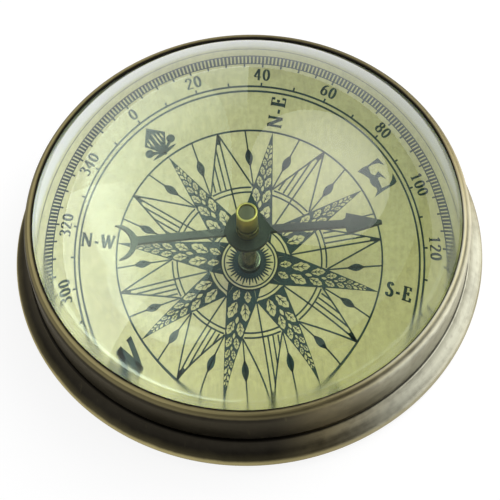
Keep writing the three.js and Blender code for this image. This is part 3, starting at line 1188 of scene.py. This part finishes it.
# Glass: a thick magnifier of slightly green glass, flat below and domed above, ground round its edge and
# polished. It rests on the packing ring and is held down by the bezel's lip.
glass_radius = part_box("lens")[1].x / mm
glass_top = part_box("lens")[1].z / mm
glass_edge = 1.3
ground_rim = 4.0
dome_rise = glass_top - glass_seat - glass_edge
dome_radius = (glass_radius ** 2 + dome_rise ** 2) / (2 * dome_rise)
dome_centre = glass_top - dome_radius
dome_edge = math.degrees(math.acos(glass_radius / dome_radius))


def optical_glass():
    """Polished glass with faint smears, less well polished at its rim, which lets lamps shine through."""
    material, tree, shader = new_finish("optical_glass")
    smear = effect(tree, tarnish, blotches_per_metre=55.0, contrast=1.2)
    ground = ramp(tree, lathe_place(tree)[0], (glass_radius - ground_rim) * mm, glass_radius * mm, 0.0, 0.12)
    set_inputs(tree, shader, {
        "Base Color": mix_colours(tree, smear, (0.815, 0.985, 0.795, 1), (0.835, 1.0, 0.815, 1)),
        "Roughness": calc(tree, "ADD", ground, ramp(tree, smear, 0.55, 1.0, 0.0, 0.012)),
        "IOR": 1.516,
        "Transmission Weight": 1.0,
    })
    ray = add_node(tree, "ShaderNodeLightPath", {}).outputs
    lamp_ray = calc(tree, "MAXIMUM", ray["Is Shadow Ray"], ray["Is Diffuse Ray"])
    clear = add_node(tree, "ShaderNodeBsdfTransparent", {"Color": (0.93, 0.95, 0.93, 1)}).outputs[0]
    both = add_node(tree, "ShaderNodeMixShader", {0: lamp_ray, 1: shader.outputs[0], 2: clear}).outputs[0]
    tree.links.new(both, tree.nodes["Material Output"].inputs["Surface"])
    return material


glass = turned("domed_glass", [
    (0, glass_seat),
    (glass_radius, glass_seat),
    *arc(0, dome_centre, dome_radius, dome_radius, dome_edge, 90, 90)[:-1],
    (0, glass_top),
], wide_turns, optical_glass())
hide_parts("lens")
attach(glass, "case")

# Bezel: a thin brass ring screwed down over the neck, with a rounded upper edge and a narrow lip that follows
# the dome. It has the base's brown finish, rubbed to gold on the lip that fingers touch.
ring_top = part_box("bezel_ring")[1].z / mm
bore_gap = 0.25
bore_radius = glass_radius + bore_gap
lip_overlap = 0.4
lip_radius = glass_radius - lip_overlap
lip_step = 0.3
lip_land = 0.22
lip_fit = 0.15
wall_taper = 0.2
ring_round = 1.95
ring_foot_land = 0.3
groove_height = 0.8


def under_lip(radius):
    """Height of the lip's underside, a little above the dome."""
    return dome_centre + math.sqrt((dome_radius + lip_fit) ** 2 - radius ** 2)


land_radius = lip_radius + lip_land
bezel = turned("bezel", [
    (bore_radius, shoulder_height),
    (bore_radius + ring_foot_land, shoulder_height),
    (bezel_radius - wall_taper, shoulder_height + groove_height),
    *arc(land_radius, ring_top - ring_round, bezel_radius - land_radius, ring_round, 0, 90, 24),
    *[(r, under_lip(r)) for r in (lip_radius, lip_radius + lip_step, bore_radius)],
], wide_turns, browned_brass("browned_bezel", [
    (land_radius + 0.5, ring_top - 0.05, 0.5, 1.0),
    (bezel_radius - 0.5, ring_top - 0.5, 0.7, 0.4),
# Painted shade darkens the groove at the bezel's foot and the gap between its lip and the glass.
], [(*bezel_joint, 0.36), (lip_radius, ring_top, 0.27)]))
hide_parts("bezel_ring")
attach(bezel, "case")

# Floor: a plain pale sheet that the compass stands on. It glows a little to the eye and in reflections, so
# that it looks white around the shadow.
floor_reach = 3.0
floor_glow = 0.9


def mirrored_ray(tree, ray):
    """1 for what the eye sees mirrored or through glass, from a light path's outputs."""
    return calc(tree, "MAXIMUM", ray["Is Glossy Ray"], ray["Is Transmission Ray"])


def pale_sheet():
    """White paper with a very faint tooth."""
    material, tree, shader = new_finish("pale_sheet")
    tooth = effect(tree, tarnish, blotches_per_metre=300.0, contrast=0.5)
    ray = add_node(tree, "ShaderNodeLightPath", {}).outputs
    seen = calc(tree, "MAXIMUM", ray["Is Camera Ray"], mirrored_ray(tree, ray))
    set_inputs(tree, shader, {
        "Base Color": mix_colours(tree, tooth, (0.19, 0.19, 0.19, 1), (0.205, 0.205, 0.205, 1)),
        "Roughness": 0.9,
        "Specular IOR Level": 0.0,
        "Emission Color": (1, 1, 1, 1),
        "Emission Strength": calc(tree, "MULTIPLY", seen, floor_glow),
    })
    return material


floor_mesh = bmesh.new()
bmesh.ops.create_grid(floor_mesh, x_segments=4, y_segments=4, size=floor_reach)
floor = piece_from("floor", floor_mesh, pale_sheet())

# Studio: white surroundings that are dimmer to the right, and an oval soft box up on the right and behind,
# which fades outwards. The glass mirrors two windows on the left and behind, the brass mirrors a low soft box
# and a card on the right, and two small lamps light the dial alone.
sky_light = 0.1
sky_left = 0.75
sky_right = 0.1
key_distance = 0.7
key_size = (0.994, 0.756)
window_distance = 0.8
window_size = (0.924, 0.75)
side_distance = 0.8

world = bpy.data.worlds.new("white_studio")
world.use_nodes = True
bpy.context.scene.world = world
sky = world.node_tree
sideways = coordinate(sky, add_node(sky, "ShaderNodeTexCoord", {}).outputs["Generated"], "X")
sky_ray = add_node(sky, "ShaderNodeLightPath", {}).outputs
sky_side = ramp(sky, sideways, -0.7, 0.3, sky_left, sky_right)
sky_mirrored = calc(sky, "MULTIPLY", mirrored_ray(sky, sky_ray), sky_side)
sky_seen = calc(sky, "MAXIMUM", sky_mirrored, sky_ray["Is Camera Ray"])
set_inputs(sky, sky.nodes["Background"], {
    "Color": (1, 1, 1, 1),
    "Strength": calc(sky, "MAXIMUM", sky_seen, sky_light),
})


def towards(compass_angle, height_angle):
    """The direction at an angle from straight behind towards the right, and at a height above the floor."""
    a = math.radians(compass_angle)
    e = math.radians(height_angle)
    return Vector((math.sin(a) * math.cos(e), math.cos(a) * math.cos(e), math.sin(e)))


def facing(place, direction, turn):
    """The matrix of a lamp or camera at a place that looks along a direction, turned about it by radians."""
    look = direction.to_track_quat("-Z", "Y").to_matrix() @ Matrix.Rotation(turn, 3, "Z")
    return Matrix.Translation(place) @ look.to_4x4()


def soft_box(name, place, direction, size, brightness, shape="RECTANGLE", turn=0):
    """A flat lamp at a place, which shines along a direction with a brightness of its own surface."""
    lamp = bpy.data.lights.new(name, "AREA")
    lamp.shape = shape
    lamp.size, lamp.size_y = size
    lamp.energy = brightness * math.pi * size[0] * size[1]
    box = bpy.data.objects.new(name, lamp)
    box.matrix_world = facing(place, direction, math.radians(turn))
    box.visible_camera = False
    bpy.context.scene.collection.objects.link(box)
    return box


def only_on(box, name, pieces):
    """Keeps a lamp's light to some pieces."""
    lit = bpy.data.collections.new(name)
    for piece in pieces:
        lit.objects.link(piece)
    box.light_linking.receiver_collection = lit
    return lit


def lamp_surface(box):
    """A lamp's node tree, a link to the place on its surface, and the strength of its light."""
    box.data.use_nodes = True
    tree = box.data.node_tree
    place = add_node(tree, "ShaderNodeNewGeometry", {}).outputs["Parametric"]
    return tree, place, tree.nodes["Emission"].inputs["Strength"]


def fade_upwards(box, share):
    """Fades a lamp out towards its top, above a share of its height."""
    tree, place, strength = lamp_surface(box)
    tree.links.new(ramp(tree, coordinate(tree, place, "Y"), share, 1.0, 1.0, 0.0), strength)


def fade_outwards(box, share):
    """Fades a lamp from near its middle to a share of its brightness at its edge."""
    tree, place, strength = lamp_surface(box)
    away = vector_calc(tree, "DISTANCE", place, (0.45, 0.55, 0), "Value")
    tree.links.new(ramp(tree, away, 0.0, 0.6, 1.0, share), strength)


key_direction = towards(54, 50.4)
key_place = key_direction * key_distance
key_box = soft_box("key_box", key_place, -key_direction, key_size, 3.3, "ELLIPSE", 118)
fade_outwards(key_box, 0.3)
for name, compass_angle, brightness in (("back_window", -27.5, 1.2), ("left_window", -87.5, 2.6)):
    direction = towards(compass_angle, 0)
    place = direction * window_distance + Vector((0, 0, window_size[1] / 2))
    window = soft_box(name, place, -direction, window_size, brightness)
    window.data.color = (0.9, 1.0, 0.88)
    fade_upwards(window, 0.4)
    window.visible_diffuse = False
    window.visible_transmission = False
    only_on(window, name + "_mirror", [glass])
side_direction = towards(88, 16)
side_box = soft_box("side_box", side_direction * side_distance, -side_direction, (1.1, 0.5), 2.4)
only_on(side_box, "side_box_mirror", [base])
side_card = soft_box("side_card", Vector((0.25, -0.02, 0.001)), Vector((0, 0, 1)), (0.41, 0.5), 2.2)
only_on(side_card, "side_card_mirror", [base, bezel])
for name, place, direction, brightness, colour in (
    ("front_dial_lamp", (-0.035, -0.062, 0.05), (0.2, 0.6, -0.6), 10.6, (1.07, 1.0, 0.28)),
    ("left_dial_lamp", (-0.055, -0.005, 0.046), (0.6, 0.0, -0.6), 2.0, (1.15, 0.95, 8.0)),
):
    dial_lamp = soft_box(name, Vector(place), Vector(direction), (0.05, 0.05), brightness)
    dial_lamp.data.color = colour
    dial_lamp.visible_glossy = False
    dial_lamp.visible_transmission = False
    dial_lamp.light_linking.blocker_collection = only_on(dial_lamp, name + "_light", [dial] + prints)

# Camera: at the photograph's angle, about 400 mm away, with its long lens turned a little about its axis.
camera_distance = 0.4
camera_height_angle = math.radians(60.41)
aim = Vector((0.0002, 0.00037, edge_height * mm))
camera_roll = 0.0565

camera_data = bpy.data.cameras.new("camera")
camera_data.sensor_width = 36
camera_data.lens = 167.47
camera_data.clip_start = 0.01
camera_data.clip_end = 20
camera = bpy.data.objects.new("camera", camera_data)
eye = Vector((0, -math.cos(camera_height_angle), math.sin(camera_height_angle))) * camera_distance
eye.z += edge_height * mm
camera.matrix_world = facing(eye, aim - eye, -camera_roll)
bpy.context.scene.collection.objects.link(camera)
bpy.context.scene.camera = camera

bpy.context.scene.view_settings.view_transform = "Standard"
